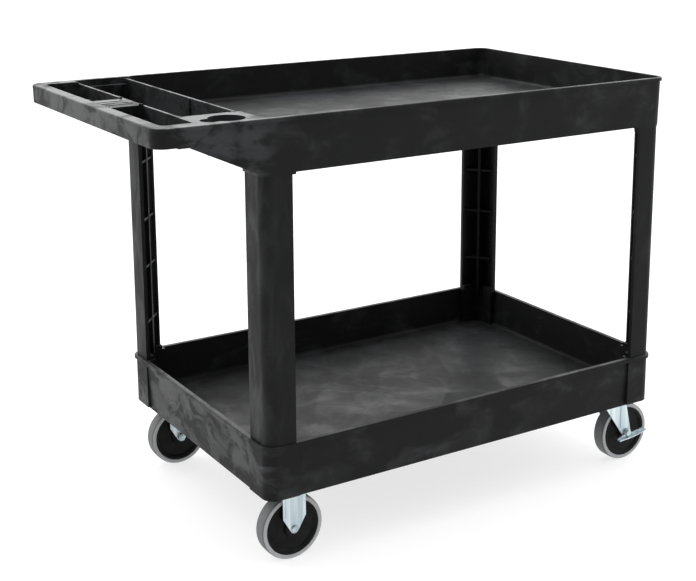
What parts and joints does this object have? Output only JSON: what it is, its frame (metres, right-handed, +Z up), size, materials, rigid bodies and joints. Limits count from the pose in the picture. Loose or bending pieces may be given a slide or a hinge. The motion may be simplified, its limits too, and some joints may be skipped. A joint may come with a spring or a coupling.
{
  "type": "rolling utility cart",
  "caption": "Black moulded utility cart with deep tub shelves on corner posts, a push handle with pockets and a cup recess, and rigid and swivel casters.",
  "frame": {"origin": "on the floor, under the middle of the overall length and width", "axes": "+X is the direction of travel, away from the handle; +Y is the left side of a person at the handle; +Z is up"},
  "size_m": [1.1584, 0.626, 0.847],
  "materials": {
    "shelf_plastic": "black structural foam, satin with a faint swirl",
    "post_plastic": "black structural foam, satin",
    "wheel_plastic": "black moulded wheel core",
    "bearing_plastic": "dark bearing sleeve",
    "grey_tyre": "non-marking grey tread, slightly scuffed",
    "zinc_steel": "bright zinc-plated pressed steel",
    "plated_fastener": "zinc-plated fasteners and axle parts"
  },
  "bodies": {
    "root": {"bottom_shelf": "shelf_plastic", "top_shelf": "shelf_plastic", "rear_left_post": "post_plastic", "rear_right_post": "post_plastic", "front_left_post": "post_plastic", "front_right_post": "post_plastic", "caster_screws": "plated_fastener", "rear_left_rigid_fork": "zinc_steel", "rear_left_axle_bolt": "plated_fastener", "rear_left_axle_nut": "plated_fastener", "rear_left_axle_sleeve": "plated_fastener", "rear_right_rigid_fork": "zinc_steel", "rear_right_axle_bolt": "plated_fastener", "rear_right_axle_nut": "plated_fastener", "rear_right_axle_sleeve": "plated_fastener", "front_left_swivel_plate": "zinc_steel", "front_left_ball_race": "zinc_steel", "front_left_kingpin": "plated_fastener", "front_right_swivel_plate": "zinc_steel", "front_right_ball_race": "zinc_steel", "front_right_kingpin": "plated_fastener"},
    "rear_left_wheel": {"rear_left_hub_bearing": "bearing_plastic", "rear_left_wheel_core": "wheel_plastic", "rear_left_tyre": "grey_tyre"},
    "rear_right_wheel": {"rear_right_hub_bearing": "bearing_plastic", "rear_right_wheel_core": "wheel_plastic", "rear_right_tyre": "grey_tyre"},
    "front_left_swivel": {"front_left_swivel_fork": "zinc_steel", "front_left_axle_bolt": "plated_fastener", "front_left_axle_nut": "plated_fastener", "front_left_axle_sleeve": "plated_fastener", "front_left_brake_washer": "plated_fastener"},
    "front_left_wheel": {"front_left_hub_bearing": "bearing_plastic", "front_left_wheel_core": "wheel_plastic", "front_left_tyre": "grey_tyre"},
    "front_left_brake": {"front_left_brake_lever": "zinc_steel"},
    "front_right_swivel": {"front_right_swivel_fork": "zinc_steel", "front_right_axle_bolt": "plated_fastener", "front_right_axle_nut": "plated_fastener", "front_right_axle_sleeve": "plated_fastener", "front_right_brake_washer": "plated_fastener"},
    "front_right_wheel": {"front_right_hub_bearing": "bearing_plastic", "front_right_wheel_core": "wheel_plastic", "front_right_tyre": "grey_tyre"},
    "front_right_brake": {"front_right_brake_lever": "zinc_steel"}
  },
  "joints": [
    {"name": "rear_left_wheel_spin", "type": "hinge", "parent": "root", "child": "rear_left_wheel", "pos_m": [-0.31425, 0.252, 0.0635], "axis": [0, 1, 0], "continuous": true},
    {"name": "rear_right_wheel_spin", "type": "hinge", "parent": "root", "child": "rear_right_wheel", "pos_m": [-0.31425, -0.252, 0.0635], "axis": [0, 1, 0], "continuous": true},
    {"name": "front_left_swivel_turn", "type": "hinge", "parent": "root", "child": "front_left_swivel", "pos_m": [0.47575, 0.252, 0.1445], "axis": [0, 0, 1], "continuous": true},
    {"name": "front_left_wheel_spin", "type": "hinge", "parent": "front_left_swivel", "child": "front_left_wheel", "pos_m": [0.51575, 0.252, 0.0635], "axis": [0, 1, 0], "continuous": true},
    {"name": "front_left_brake_press", "type": "hinge", "parent": "front_left_swivel", "child": "front_left_brake", "pos_m": [0.51575, 0.252, 0.0635], "axis": [0, 1, 0], "range_deg": [-25, 0]},
    {"name": "front_right_swivel_turn", "type": "hinge", "parent": "root", "child": "front_right_swivel", "pos_m": [0.47575, -0.252, 0.1445], "axis": [0, 0, 1], "continuous": true},
    {"name": "front_right_wheel_spin", "type": "hinge", "parent": "front_right_swivel", "child": "front_right_wheel", "pos_m": [0.51575, -0.252, 0.0635], "axis": [0, 1, 0], "continuous": true},
    {"name": "front_right_brake_press", "type": "hinge", "parent": "front_right_swivel", "child": "front_right_brake", "pos_m": [0.51575, -0.252, 0.0635], "axis": [0, 1, 0], "range_deg": [-25, 0]}
  ]
}
